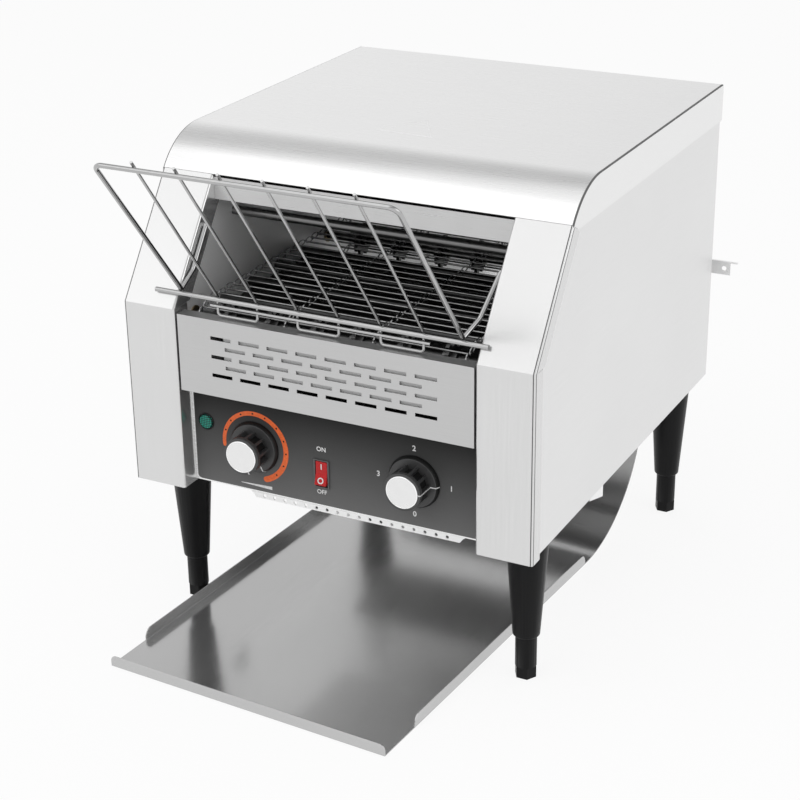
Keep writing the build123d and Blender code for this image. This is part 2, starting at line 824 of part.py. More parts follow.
def make_power_rocker():
    """Rocker, pressed in at its upper end."""
    high = switch_z + rocker_up
    low = switch_z - rocker_down
    points = [(rocker_pivot_y - 3.8, high), (rocker_pivot_y - 4.0, switch_z + gap), (rocker_pivot_y - 7.0, low),
              (rocker_pivot_y + 2.0, low), (rocker_pivot_y + 6.0, switch_z), (rocker_pivot_y + 2.0, high)]
    half = switch_half_x - switch_wall - gap / 2 - 0.1
    return side_plate(points, switch_x - half, switch_x + half)


def make_control_body(x, z, depth):
    """Box behind the panel with the bush of a control shaft."""
    half = control_box / 2
    back = control_y + sheet
    body = block(x - half, x + half, back, back + depth, z - half, z + half)
    body += rod_y(x, control_y - fascia_thickness, back, z, control_bush_radius)
    return body - rod_y(x, control_y - 2 * sheet, back + depth / 2, z, control_shaft_radius + running)


def make_knob(x, z):
    """Knob with a skirt, a fluted grip and its shaft."""
    skirt = Pos(x, (knob_back_y + knob_skirt_y) / 2, z) * Rot(90, 0, 0) * Cone(
        knob_skirt_radius, knob_grip_radius + 2, knob_back_y - knob_skirt_y)
    grip = rod_y(x, knob_grip_y, knob_skirt_y, z, knob_grip_radius)
    cuts = []
    for index in range(knob_flutes):
        angle = 2 * math.pi * (index + 0.5) / knob_flutes
        reach = knob_grip_radius + knob_flute_radius / 4
        cuts.append(rod_y(x + reach * math.cos(angle), knob_grip_y + 2, knob_skirt_y - 1.5,
                          z + reach * math.sin(angle), knob_flute_radius))
    knob = skirt + (grip - cuts)
    return knob + rod_y(x, knob_back_y, control_y + colour_box_depth / 3, z, control_shaft_radius)


def make_knob_cap(x, z):
    """Bright disc on the knob's face."""
    return rod_y(x, knob_cap_y, knob_grip_y, z, knob_cap_radius)


def make_terminal_block():
    """Terminal block on the base."""
    low = base_z + sheet
    half_x = terminal_length / 2
    half_y = terminal_width / 2
    body = block(terminal_x - half_x, terminal_x + half_x, terminal_y - half_y, terminal_y + half_y, low,
                 low + terminal_height)
    cuts = []
    for index in range(terminal_holes):
        x = terminal_x + (index - (terminal_holes - 1) / 2) * terminal_length / terminal_holes
        cuts.append(rod_z(x, terminal_y, low + terminal_height / 2, low + 2 * terminal_height, terminal_hole_radius))
    return body - cuts


def make_leg(x, y):
    """Tapered leg, hollow for its foot."""
    points = [(0, base_z), (leg_collar_radius, base_z), (leg_collar_radius, base_z - leg_collar),
              (leg_top_radius, base_z - leg_collar - sheet),
              (leg_step_radius, leg_step_z + sheet), (leg_step_radius - sheet, leg_step_z), (0, leg_step_z)]
    leg = revolve(Plane.XZ * Polygon(*points, align=None), axis=Axis.Z)
    bore_top = foot_top_z + foot_travel + 4 * sheet
    leg -= rod_z(0, 0, leg_step_z - sheet, bore_top, foot_radius + gap)
    return Pos(x, y, 0) * leg


def make_foot(x, y):
    """Foot with a hexagonal end, adjustable in its leg."""
    foot = extrude(RegularPolygon(1.05 * foot_radius, 6), amount=foot_hex_height)
    foot = foot + rod_z(0, 0, foot_hex_height, foot_top_z, foot_radius)
    return Pos(x, y, 0) * foot


def make_spacer(side):
    """Wall spacer at the back: foot, web, plate with a hole and a folded lip."""
    rear = body_depth - sheet
    inner = spacer_inner_x
    high = spacer_high_z - sheet
    spacer = block(inner - spacer_foot, inner + sheet, rear, rear + sheet, spacer_low_z, high)
    spacer += block(inner, inner + sheet, rear, spacer_y, spacer_low_z, high)
    spacer += block(inner, spacer_plate_x, spacer_y - sheet, spacer_y, spacer_low_z, high)
    spacer += block(inner, spacer_lip_x, spacer_y - spacer_lip_depth, spacer_y, high, spacer_high_z)
    hole_z = (spacer_low_z + high) / 2
    spacer -= rod_y(spacer_hole_x, spacer_y - 3 * sheet, spacer_y + sheet, hole_z, spacer_hole_radius)
    return on_side(side, spacer)


def make_cable_gland():
    """Gland for the supply cord, with its nut outside."""
    rear = body_depth - sheet
    gland = rod_y(gland_x, rear - gland_inside, rear, gland_z, gland_radius)
    nut = Plane.XZ.offset(-rear - gland_nut / 2) * Pos(gland_x, gland_z) * RegularPolygon(gland_nut_radius, 6)
    gland += extrude(nut, amount=gland_nut / 2, both=True)
    gland += rod_y(gland_x, rear + gland_nut, rear + gland_length, gland_z, gland_radius + gap)
    return gland - rod_y(gland_x, rear - gland_inside - sheet, rear + gland_length + sheet, gland_z, gland_bore)


def make_rear_screws():
    """Pan heads on the back."""
    rear = body_depth - sheet
    low = side_bottom_z + screw_margin
    high = cover_side_z - screw_margin / 2
    heads = []
    for side in (-1, 1):
        x = side * (body_half_width - screw_inset)
        for z in (low, (low + high) / 2, high):
            heads.append(rod_y(x, rear, rear + screw_head, z, screw_radius))
    return Compound(children=heads)


def rack_line(offset, share):
    """Point on the rack's plane, share 0 at the top rail and 1 at the cross rod."""
    length = math.hypot(rack_forward, rack_rise)
    y = rack_rail_y + rack_forward * share + offset * rack_rise / length
    z = rack_rail_z - rack_rise * share + offset * rack_forward / length
    return (y, z)


def rack_elbow():
    """Bend where a side wire meets the cross rod and turns into an arm."""
    return rack_line(2 * rack_wire_radius, 1)


def make_rack_frame():
    """Top rail, side wires and two cross rods."""
    elbow_y, elbow_z = rack_elbow()
    half = rack_rail_half
    points = [(-half, elbow_y, elbow_z), (-half, rack_rail_y, rack_rail_z), (half, rack_rail_y, rack_rail_z),
              (half, elbow_y, elbow_z)]
    frame = Pos(rack_x, 0, 0) * wire_run(points, rack_wire_radius, rack_bend)
    rod = rod_x(rack_rod_left, rack_rod_right, rack_rod_y, rack_rod_z, rack_wire_radius)
    wire_y, _ = rack_line(rack_wire_radius + rack_thin_radius, 1)
    stay = rod_x(rack_stay_left, rack_stay_right, wire_y - 2 * rack_thin_radius + running,
                 rack_foot_z + rack_stay_rise, rack_thin_radius)
    return Compound(children=[frame + rod, stay])


def make_rack_wires():
    """Thin wires in pairs, each pair joined by its foot below the cross rod."""
    offset = rack_wire_radius + rack_thin_radius
    tip_y, tip_z = rack_line(offset, -rack_tip / math.hypot(rack_forward, rack_rise))
    low_y, low_z = rack_line(offset, 1)
    pairs = []
    for index in (-1, 0, 1):
        first = 2 * index * rack_wire_pitch - rack_wire_x
        second = first + rack_wire_pitch
        points = [(first, tip_y, tip_z), (first, low_y, low_z), (first, low_y, rack_foot_z),
                  (second, low_y, rack_foot_z), (second, low_y, low_z), (second, tip_y, tip_z)]
        pairs.append(Pos(rack_x + rack_wire_shift, 0, 0) * wire_run(points, rack_thin_radius, rack_thin_bend))
    return Compound(children=pairs)


def make_rack_arms():
    """Arms from the cross rod back to the pivot holes, ending in hooks."""
    elbow_y, elbow_z = rack_elbow()
    pivot_y, pivot_z = rack_pivot()
    length = math.hypot(pivot_y - elbow_y, pivot_z - elbow_z)
    arms = []
    for side in (-1, 1):
        root_x = rack_x + side * rack_rail_half
        near_x = side * (column_inner_x - rack_wire_radius - gap)
        hook_x = side * (column_inner_x + rack_hook_reach)
        middle = (root_x + rack_arm_share * (near_x - root_x), elbow_y + rack_arm_share * (pivot_y - elbow_y),
                  elbow_z + rack_arm_share * (pivot_z - elbow_z) - rack_arm_sag * length)
        points = [(root_x, elbow_y, elbow_z), middle, (near_x, pivot_y, pivot_z), (hook_x, pivot_y, pivot_z)]
        arms.append(wire_run(points, rack_wire_radius, (rack_arm_bend * length, 1.1 * rack_wire_radius)))
    return Compound(children=arms)


def make_toast_tray():
    """One bent sheet: front lip, flat floor with side flanges, rising chute at the back."""
    half = tray_width / 2
    end = math.radians(tray_curve_angle)

    def curve(radius):
        start = (tray_flat, tray_curve - radius)
        middle = (tray_flat + radius * math.sin(end / 2), tray_curve - radius * math.cos(end / 2))
        last = (tray_flat + radius * math.sin(end), tray_curve - radius * math.cos(end))
        return start, middle, last

    low = curve(tray_curve)
    high = curve(tray_curve - sheet)
    edges = [Line((0, 0), low[0]), ThreePointArc(*low), Line(low[2], high[2]), ThreePointArc(*reversed(high)),
             Line(high[0], (0, sheet)), Line((0, sheet), (0, 0))]
    tray = edge_plate(edges, -half, half)
    lip = Plane.XZ.offset(-sheet / 2) * Pos(0, tray_lip / 2) * Rectangle(tray_width, tray_lip)
    lip = fillet(lip.vertices().sort_by(Axis.Z)[2:], tray_lip_corner)
    tray += extrude(lip, amount=sheet / 2, both=True)
    flange_length = tray_flange_end - tray_flange_start
    centre = (tray_flange_start + tray_flange_end) / 2
    fold = Plane.YZ.offset(half - sheet / 2) * Pos(centre, tray_flange / 2) * Rectangle(flange_length, tray_flange)
    fold = extrude(fillet(fold.vertices().sort_by(Axis.Z)[2:], tray_flange_corner), amount=sheet / 2, both=True)
    tray += fold
    tray += on_side(-1, fold)
    placed = Rot(0, 0, tray_turn) * Pos(-half, 0, 0) * tray
    return Pos(tray_corner_x, tray_corner_y, 0) * placed


def all_pieces():
    """Every node with its shape."""
    pieces = {
        "top_cover": make_top_cover(),
        "rear_panel": make_rear_panel(),
        "base_plate": make_base_plate(),
        "base_grille": make_base_grille(),
        "vent_panel": make_vent_panel(),
        "control_panel": make_control_panel(),
        "control_fascia": make_control_fascia(),
        "upper_reflector": make_upper_reflector(),
        "lower_reflector": make_lower_reflector(),
        "upper_tubes": make_tubes(upper_tube_y, upper_tube_z),
        "lower_tubes": make_tubes(lower_tube_y, shaft_z),
        "element_holders": make_element_holders(),
        "service_deck": make_service_deck(),
        "drop_wall": make_drop_wall(),
        "rear_guide": make_rear_guide(),
        "conveyor_belt": make_conveyor_belt(),
        "shaft_bushes": make_shaft_bushes(),
        "front_shaft": make_belt_shaft(front_shaft_y, chamber_x + shaft_overhang),
        "rear_shaft": make_rear_shaft(),
        "gear_motor": make_gear_motor(),
        "motor_sprocket": make_motor_sprocket(),
        "drive_chain": make_drive_chain(),
        "fan_housing": make_fan_housing(),
        "fan_rotor": make_fan_rotor(),
        "lamp_bezel": make_lamp_bezel(),
        "lamp_lens": make_lamp_lens(),
        "switch_housing": make_switch_housing(),
        "power_rocker": make_power_rocker(),
        "colour_control": make_control_body(colour_x, colour_z, colour_box_depth),
        "colour_knob": make_knob(colour_x, colour_z),
        "colour_knob_cap": make_knob_cap(colour_x, colour_z),
        "selector_switch": make_control_body(selector_x, selector_z, selector_box_depth),
        "selector_knob": make_knob(selector_x, selector_z),
        "selector_knob_cap": make_knob_cap(selector_x, selector_z),
        "terminal_block": make_terminal_block(),
        "cable_gland": make_cable_gland(),
        "rear_screws": make_rear_screws(),
        "rack_frame": make_rack_frame(),
        "rack_wires": make_rack_wires(),
        "rack_arms": make_rack_arms(),
        "toast_tray": make_toast_tray(),
    }
    for side, side_name in ((-1, "left"), (1, "right")):
        pieces["column_" + side_name] = make_column(side)
        pieces["side_panel_" + side_name] = make_side_panel(side)
        pieces["chamber_wall_" + side_name] = make_chamber_wall(side)
        pieces["spacer_" + side_name] = make_spacer(side)
        for y, end_name in ((leg_front_y, "front_"), (leg_rear_y, "rear_")):
            pieces["leg_" + end_name + side_name] = make_leg(side * leg_x, y)
            pieces["foot_" + end_name + side_name] = make_foot(side * leg_x, y)
    return pieces


os.makedirs("parts", exist_ok=True)
origin_y = (tray_corner_y + spacer_y) / 2
for node, shape in all_pieces().items():
    export_step(Pos(0, -origin_y, 0) * shape, "parts/" + node + ".step")
print("origin_y", origin_y)
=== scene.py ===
import json
import math
import bmesh
import bpy
from mathutils import Matrix, Vector

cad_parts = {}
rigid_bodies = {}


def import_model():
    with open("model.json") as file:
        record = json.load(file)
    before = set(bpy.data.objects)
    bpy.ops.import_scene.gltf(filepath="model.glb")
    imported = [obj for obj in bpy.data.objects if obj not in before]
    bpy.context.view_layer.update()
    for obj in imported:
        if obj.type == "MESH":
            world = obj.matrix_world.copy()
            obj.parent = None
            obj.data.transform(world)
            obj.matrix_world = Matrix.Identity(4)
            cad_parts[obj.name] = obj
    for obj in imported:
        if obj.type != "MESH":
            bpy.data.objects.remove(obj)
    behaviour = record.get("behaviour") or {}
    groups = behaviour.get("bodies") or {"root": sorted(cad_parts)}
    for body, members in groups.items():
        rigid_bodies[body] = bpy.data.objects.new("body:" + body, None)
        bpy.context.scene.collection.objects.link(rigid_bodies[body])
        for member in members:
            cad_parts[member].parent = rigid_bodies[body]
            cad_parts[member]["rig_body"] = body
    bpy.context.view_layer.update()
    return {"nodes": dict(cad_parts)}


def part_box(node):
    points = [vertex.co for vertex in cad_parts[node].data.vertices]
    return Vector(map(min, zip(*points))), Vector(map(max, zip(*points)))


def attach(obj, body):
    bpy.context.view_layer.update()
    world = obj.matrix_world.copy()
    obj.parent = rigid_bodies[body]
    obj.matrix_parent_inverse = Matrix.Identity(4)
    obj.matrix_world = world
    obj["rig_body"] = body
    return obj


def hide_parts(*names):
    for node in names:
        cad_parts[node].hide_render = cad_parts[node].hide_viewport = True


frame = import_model()
nodes = frame["nodes"]
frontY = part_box("column_right")[0].y  # front face of the columns


def at(x, y, z):
    # millimetres counted from the column face and the worktop, to metres
    return Vector((x * 0.001, frontY + y * 0.001, z * 0.001))


# camera: where it stands and where it looks
camera = {"place": (0.6856, -1.3490, 0.8329), "yaw": -27.46, "pitch": -23.64, "roll": -0.82, "lens": 84.73}


def makeCamera():
    yaw, pitch, roll = (math.radians(camera[key]) for key in ("yaw", "pitch", "roll"))
    ahead = Vector((math.sin(yaw) * math.cos(pitch), math.cos(yaw) * math.cos(pitch), math.sin(pitch)))
    level = Vector((math.cos(yaw), -math.sin(yaw), 0))
    upward = level.cross(ahead)
    right = level * math.cos(roll) + upward * math.sin(roll)
    up = upward * math.cos(roll) - level * math.sin(roll)
    data = bpy.data.cameras.new("camera")
    data.lens = camera["lens"]
    data.sensor_width = 36
    data.clip_start = 0.05
    data.clip_end = 100
    shooter = bpy.data.objects.new("camera", data)
    turn = Matrix((right, up, -ahead)).transposed()
    shooter.matrix_world = Matrix.Translation(camera["place"]) @ turn.to_4x4()
    bpy.context.scene.collection.objects.link(shooter)
    bpy.context.scene.camera = shooter


makeCamera()
print("camera set")


# materials
def newMaterial(name):
    material = bpy.data.materials.new(name)
    material.use_nodes = True
    tree = material.node_tree
    return material, tree, tree.nodes["Principled BSDF"]


def link(tree, start, end):
    tree.links.new(start, end)


def pattern(tree, scale, stretch=(1, 1, 1), detail=3.0, roughness=0.5):
    # noise on object coordinates, stretched by a Mapping node
    place = tree.nodes.new("ShaderNodeTexCoord")
    mapping = tree.nodes.new("ShaderNodeMapping")
    mapping.inputs["Scale"].default_value = stretch
    noise = tree.nodes.new("ShaderNodeTexNoise")
    noise.inputs["Scale"].default_value = scale
    noise.inputs["Detail"].default_value = detail
    noise.inputs["Roughness"].default_value = roughness
    link(tree, place.outputs["Object"], mapping.inputs["Vector"])
    link(tree, mapping.outputs["Vector"], noise.inputs["Vector"])
    return noise.outputs["Fac"]


def ramp(tree, source, stops):
    node = tree.nodes.new("ShaderNodeValToRGB")
    elements = node.color_ramp.elements
    while len(elements) < len(stops):
        elements.new(0.5)
    for element, (position, colour) in zip(elements, stops):
        element.position = position
        element.color = (*colour, 1) if len(colour) == 3 else colour
    link(tree, source, node.inputs["Fac"])
    return node.outputs["Color"]


def spread(tree, source, low, high, fromLow=0.3, fromHigh=0.7):
    node = tree.nodes.new("ShaderNodeMapRange")
    node.inputs["From Min"].default_value = fromLow
    node.inputs["From Max"].default_value = fromHigh
    node.inputs["To Min"].default_value = low
    node.inputs["To Max"].default_value = high
    link(tree, source, node.inputs["Value"])
    return node.outputs["Result"]


def relief(tree, shader, source, strength, distance):
    node = tree.nodes.new("ShaderNodeBump")
    node.inputs["Strength"].default_value = strength
    node.inputs["Distance"].default_value = distance
    link(tree, source, node.inputs["Height"])
    link(tree, node.outputs["Normal"], shader.inputs["Normal"])


def grey(value):
    return (value, value, value)


steel = {"across": 2300.0, "along": 22.0, "cloud": 9.0, "cloudShare": 0.3, "bump": 0.04}


def brushedSteel(name, value, roughness, along, contrast=0.07, metal=0.85):
    # sheet steel: very fine drawn lines along one axis over a faint cloudiness
    material, tree, shader = newMaterial(name)
    stretch = [steel["across"]] * 3
    stretch["xyz".index(along)] = steel["along"]
    lines = pattern(tree, 1.0, stretch, 2.0, 0.6)
    cloud = pattern(tree, steel["cloud"], (1, 1, 1), 1.0)
    blend = tree.nodes.new("ShaderNodeMix")
    blend.inputs["Factor"].default_value = steel["cloudShare"]
    link(tree, lines, blend.inputs["A"])
    link(tree, cloud, blend.inputs["B"])
    tone = ramp(tree, blend.outputs["Result"], [(0.3, grey(value * (1 - contrast))), (0.7, grey(value))])
    link(tree, tone, shader.inputs["Base Color"])
    link(tree, spread(tree, lines, roughness - 0.03, roughness + 0.04), shader.inputs["Roughness"])
    shader.inputs["Metallic"].default_value = metal
    relief(tree, shader, lines, steel["bump"], 0.0001)
    return material


def polishedMetal(name, colour, roughness, speck=0.04):
    material, tree, shader = newMaterial(name)
    noise = pattern(tree, 160.0, (1, 1, 1), 3.0)
    dark = tuple(c * (1 - speck) for c in colour)
    link(tree, ramp(tree, noise, [(0.35, dark), (0.65, colour)]), shader.inputs["Base Color"])
    link(tree, spread(tree, noise, roughness - 0.03, roughness + 0.04), shader.inputs["Roughness"])
    shader.inputs["Metallic"].default_value = 1.0
    return material


def mouldedPlastic(name, colour, roughness, bump=0.15, scale=900.0, spec=0.5):
    # fine spark-eroded grain of a moulded part
    material, tree, shader = newMaterial(name)
    noise = pattern(tree, scale, (1, 1, 1), 2.0)
    dark = tuple(c * 0.82 for c in colour)
    link(tree, ramp(tree, noise, [(0.3, dark), (0.7, colour)]), shader.inputs["Base Color"])
    link(tree, spread(tree, noise, roughness - 0.05, roughness + 0.08), shader.inputs["Roughness"])
    shader.inputs["Specular IOR Level"].default_value = spec
    relief(tree, shader, noise, bump, 0.0002)
    return material


def filmWithPaintedReflection(name, low, high, lowZ, highZ):
    # dark printed film, lighter towards the bottom and darker up the panel: a painted reflection of the bright floor
    material, tree, shader = newMaterial(name)
    place = tree.nodes.new("ShaderNodeTexCoord")
    split = tree.nodes.new("ShaderNodeSeparateXYZ")
    link(tree, place.outputs["Object"], split.inputs["Vector"])
    height = spread(tree, split.outputs["Z"], 0.0, 1.0, lowZ * 0.001, highZ * 0.001)
    link(tree, ramp(tree, height, [(0.0, grey(low)), (1.0, grey(high))]), shader.inputs["Base Color"])
    noise = pattern(tree, 2200.0, (1, 1, 1), 2.0)
    link(tree, spread(tree, noise, 0.48, 0.56), shader.inputs["Roughness"])
    shader.inputs["Specular IOR Level"].default_value = 0.15
    relief(tree, shader, noise, 0.05, 0.0001)
    return material


def lensWithPaintedGlints(name, dark, light):
    # coloured lens with a moulded grid of small prisms; the lighter cell centres are painted glints
    material, tree, shader = newMaterial(name)
    place = tree.nodes.new("ShaderNodeTexCoord")
    cells = tree.nodes.new("ShaderNodeTexVoronoi")
    cells.inputs["Scale"].default_value = 620.0
    cells.inputs["Randomness"].default_value = 0.0
    link(tree, place.outputs["Object"], cells.inputs["Vector"])
    link(tree, ramp(tree, cells.outputs["Distance"], [(0.15, light), (0.5, dark)]), shader.inputs["Base Color"])
    shader.inputs["Roughness"].default_value = 0.14
    shader.inputs["Specular IOR Level"].default_value = 0.35
    relief(tree, shader, cells.outputs["Distance"], 0.5, 0.0004)
    return material


# the steel finishes are copies of one brushed steel in different greys, partly painted light and shade: front faces
# darker than the top, the frame steel and the chamber walls lighter, the baffle a darker copy of the inner steel, and
# the rack's chrome darkened as a painted reflection
finishes = {
    "topSteel": brushedSteel("topSteel", 0.86, 0.29, "x", 0.02),
    "frontSteel": brushedSteel("frontSteel", 0.73, 0.22, "z"),
    "sideSteel": brushedSteel("sideSteel", 0.81, 0.32, "y"),
    "panelSteel": brushedSteel("panelSteel", 0.58, 0.32, "x"),
    "frameSteel": brushedSteel("frameSteel", 0.95, 0.28, "x"),
    "backSteel": brushedSteel("backSteel", 0.66, 0.34, "x"),
    "innerSteel": brushedSteel("innerSteel", 0.93, 0.16, "x", 0.03, 1.0),
    "wallSteel": brushedSteel("wallSteel", 0.95, 0.42, "y", 0.05, 0.45),
    "baffleSteel": brushedSteel("baffleSteel", 0.62, 0.30, "x"),
    "lipSteel": brushedSteel("lipSteel", 0.95, 0.35, "x", 0.03, 0.4),
    "traySteel": brushedSteel("traySteel", 0.56, 0.15, "y"),
    # flat dark grey for the bend lines of the sheet: painted shade
    "foldShade": mouldedPlastic("foldShade", grey(0.16), 0.5, 0.02, spec=0.08),
    "rackChrome": polishedMetal("rackChrome", grey(0.46), 0.07),
    "bareSteel": polishedMetal("bareSteel", grey(0.50), 0.35),
    "darkSteel": polishedMetal("darkSteel", grey(0.10), 0.34),
    "beltWire": polishedMetal("beltWire", grey(0.34), 0.20, 0.3),
    "bronze": polishedMetal("bronze", (0.30, 0.24, 0.15), 0.40),
    "capMetal": polishedMetal("capMetal", grey(0.84), 0.24, 0.03),
    # brighter copy of the cap metal for the rim: painted highlight
    "capRimHighlight": polishedMetal("capRimHighlight", grey(0.97), 0.12, 0.02),
    "legPlastic": mouldedPlastic("legPlastic", (0.006, 0.006, 0.0065), 0.36, spec=0.16),
    "knobPlastic": mouldedPlastic("knobPlastic", (0.056, 0.056, 0.057), 0.34, 0.04, spec=0.5),
    # the fascia's fade from bottom to top is painted reflection
    "fasciaFilm": filmWithPaintedReflection("fasciaFilm", 0.15, 0.012, 134.0, 216.0),
    "blackPlastic": mouldedPlastic("blackPlastic", (0.012, 0.012, 0.012), 0.34, spec=0.3),
    "housingPlastic": mouldedPlastic("housingPlastic", (0.12, 0.12, 0.121), 0.32, spec=0.4),
    "innerPlastic": mouldedPlastic("innerPlastic", (0.10, 0.09, 0.085), 0.5),
    "whitePlastic": mouldedPlastic("whitePlastic", (0.75, 0.74, 0.72), 0.45),
    "redPlastic": mouldedPlastic("redPlastic", (0.56, 0.006, 0.008), 0.20, 0.02, 300.0, 0.35),
    "greenLens": lensWithPaintedGlints("greenLens", (0.0, 0.035, 0.028), (0.005, 0.42, 0.30)),
    "markWhite": mouldedPlastic("markWhite", (0.86, 0.86, 0.86), 0.5, 0.02, 600.0, 0.4),
    "markOrange": mouldedPlastic("markOrange", (0.93, 0.17, 0.045), 0.5, 0.02, 600.0, 0.3),
    "markBlack": mouldedPlastic("markBlack", (0.02, 0.006, 0.004), 0.5, 0.02, 600.0, 0.3),
    "shieldSteel": brushedSteel("shieldSteel", 0.60, 0.55, "x", metal=0.0),
    "sheathedTube": polishedMetal("sheathedTube", grey(0.06), 0.34),
    "elementSteel": polishedMetal("elementSteel", grey(0.20), 0.30),
}
print("finishes made:", len(finishes))


# making of pieces
def finishPiece(name, bm, body, finish, replaced=(), smooth=30.0, outward=True):
    bmesh.ops.remove_doubles(bm, verts=bm.verts, dist=1e-6)
    if outward:
        bmesh.ops.recalc_face_normals(bm, faces=bm.faces)
    mesh = bpy.data.meshes.new(name)
    bm.to_mesh(mesh)
    bm.free()
    mesh.shade_smooth()
    mesh.set_sharp_from_angle(angle=math.radians(smooth))
    piece = bpy.data.objects.new(name, mesh)
    bpy.context.scene.collection.objects.link(piece)
    mesh.materials.append(finishes[finish])
    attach(piece, body)
    if replaced:
        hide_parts(*replaced)
    return piece


def roundEdges(piece, width, segments=2, angle=32.0):
    bevel = piece.modifiers.new("rounded edges", "BEVEL")
    bevel.width = width * 0.001
    bevel.segments = segments
    bevel.limit_method = "ANGLE"
    bevel.angle_limit = math.radians(angle)
    bevel.harden_normals = True
    bevel.profile = 0.5


def thicken(piece, thickness, offset=-1.0):
    # the free edges stay sharp, so the faces beside them shade flat
    uses = {}
    for face in piece.data.polygons:
        for key in face.edge_keys:
            uses[key] = uses.get(key, 0) + 1
    for edge in piece.data.edges:
        if uses.get(edge.key) == 1:
            edge.use_edge_sharp = True
    wall = piece.modifiers.new("sheet", "SOLIDIFY")
    wall.thickness = thickness * 0.001
    wall.offset = offset
    wall.use_even_offset = True


def bendEdges(bm, edges, width, segments=4):
    bmesh.ops.bevel(bm, geom=edges, offset=width * 0.001, offset_type="OFFSET", segments=segments, profile=0.5,
                    affect="EDGES", material=-1, clamp_overlap=True)


def fromNode(node, finish, width):
    # merged copy of a CAD node, with softened edges where a width is given
    bm = bmesh.new()
    bm.from_mesh(nodes[node].data)
    bmesh.ops.remove_doubles(bm, verts=bm.verts, dist=2e-6)
    bmesh.ops.dissolve_limit(bm, angle_limit=math.radians(0.4), verts=bm.verts, edges=bm.edges)
    piece = finishPiece(camel(node), bm, nodes[node]["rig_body"], finish, (node,), outward=False)
    if width:
        roundEdges(piece, width)


def camel(node):
    first, *rest = node.split("_")
    return first + "".join(word.capitalize() for word in rest) + "Piece"


# sizes shared by the sheet pieces, in millimetres
shell = {"halfWidth": 184.0, "inner": 135.0, "depth": 418.0, "top": 413.2, "breakZ": 290.5, "slope": 54.2,
         "arc": 66.0, "bottom": 129.3, "sheet": 1.0}
slopeTurn = math.radians(shell["slope"])
arcHeight = shell["top"] - shell["arc"]
slopeEnd = arcHeight + shell["arc"] * math.cos(slopeTurn)
slopeEndY = (slopeEnd - shell["breakZ"]) / math.tan(slopeTurn)
arcY = slopeEndY + shell["arc"] * math.sin(slopeTurn)


def onSlope(along, depth=0.0):
    # point on the slope, counted up from its lower edge and inwards from its face
    y = along * math.cos(slopeTurn) + depth * math.sin(slopeTurn)
    z = shell["breakZ"] + along * math.sin(slopeTurn) - depth * math.cos(slopeTurn)
    return y, z


slopeLength = (slopeEnd - shell["breakZ"]) / math.sin(slopeTurn)


def vertsOf(geometry):
    return [item for item in geometry if isinstance(item, bmesh.types.BMVert)]


def edgesOf(geometry):
    return [item for item in geometry if isinstance(item, bmesh.types.BMEdge)]


def paintFoldShade(piece, bands, side=0):
    # facets that lean sideways by a share within the bands take painted shade: the dark reflection of a bend line
    piece.data.materials.append(finishes["foldShade"])
    for face in piece.data.polygons:
        lean = side * face.normal.x if side else abs(face.normal.x)
        if any(low < lean < high for low, high in bands):
            face.material_index = 1


# top cover: the side flange rises from the tip to its full height at taperEnd
cover = {"sideBottom": 380.0, "backFlange": 22.0, "fold": 2.2, "foldSteps": 4, "arcSteps": 24, "tip": 2.6,
         "taperEnd": 78.0, "tipDrop": 0.4, "darkFacets": ((0.12, 0.95),)}


def sideRim(bm, side):
    # edges at one side of the cover, apart from the back flange's
    sideX = side * shell["halfWidth"] * 0.001
    flangeTop = (shell["top"] - cover["backFlange"] + 1) * 0.001
    arcMiddle = at(0, arcY, 0).y
    rim = [edge for edge in bm.edges if all(abs(vert.co.x - sideX) < 1e-6 for vert in edge.verts)]
    return [edge for edge in rim if all(vert.co.z > flangeTop for vert in edge.verts)
            or all(vert.co.y < arcMiddle for vert in edge.verts)]


def makeCover():
    bm = bmesh.new()
    half = shell["halfWidth"]
    tip = bm.verts.new(at(-half, slopeEndY, slopeEnd))
    turned = bmesh.ops.spin(bm, geom=[tip], cent=at(-half, arcY, arcHeight), axis=(1, 0, 0), angle=-slopeTurn,
                            steps=cover["arcSteps"])
    last = vertsOf(turned["geom_last"])[0]
    for y, z in ((shell["depth"], shell["top"]), (shell["depth"], shell["top"] - cover["backFlange"])):
        grown = bmesh.ops.extrude_vert_indiv(bm, verts=[last])
        last = grown["verts"][0]
        last.co = at(-half, y, z)
    profile = list(bm.edges)
    swept = bmesh.ops.extrude_edge_only(bm, edges=profile)["geom"]
    bmesh.ops.translate(bm, verts=vertsOf(swept), vec=(2 * half * 0.001, 0, 0))
    tipZ = slopeEnd - cover["tipDrop"]
    for side in (-1, 1):
        folded = bmesh.ops.extrude_edge_only(bm, edges=sideRim(bm, side))["geom"]
        for vert in vertsOf(folded):
            y = (vert.co.y - frontY) * 1000
            share = min(1.0, max(0.0, (y - slopeEndY) / (cover["taperEnd"] - slopeEndY)))
            low = tipZ + share * (cover["sideBottom"] - tipZ)
            vert.co.z = min(vert.co.z - cover["tip"] * 0.001, low * 0.001)
    bmesh.ops.remove_doubles(bm, verts=bm.verts, dist=1e-5)
    bmesh.ops.recalc_face_normals(bm, faces=bm.faces)
    creases = [e for e in bm.edges if len(e.link_faces) == 2 and e.calc_face_angle(0) > math.radians(60)]
    bendEdges(bm, creases, cover["fold"], cover["foldSteps"])
    piece = finishPiece("topCover", bm, "casing", "topSteel", ("top_cover",), 8)
    if piece.data.polygons[0].normal.dot(Vector((0, -1, 1))) < 0:
        piece.data.flip_normals()
    paintFoldShade(piece, cover["darkFacets"])
    thicken(piece, shell["sheet"])


# plain pressed triangle on the cover
pressMark = {"corners": ((-29.4, 156.9), (-3.2, 200.4), (23.9, 153.9)), "width": 1.1, "rise": 0.22,
             "edge": 0.1, "sink": 0.05}


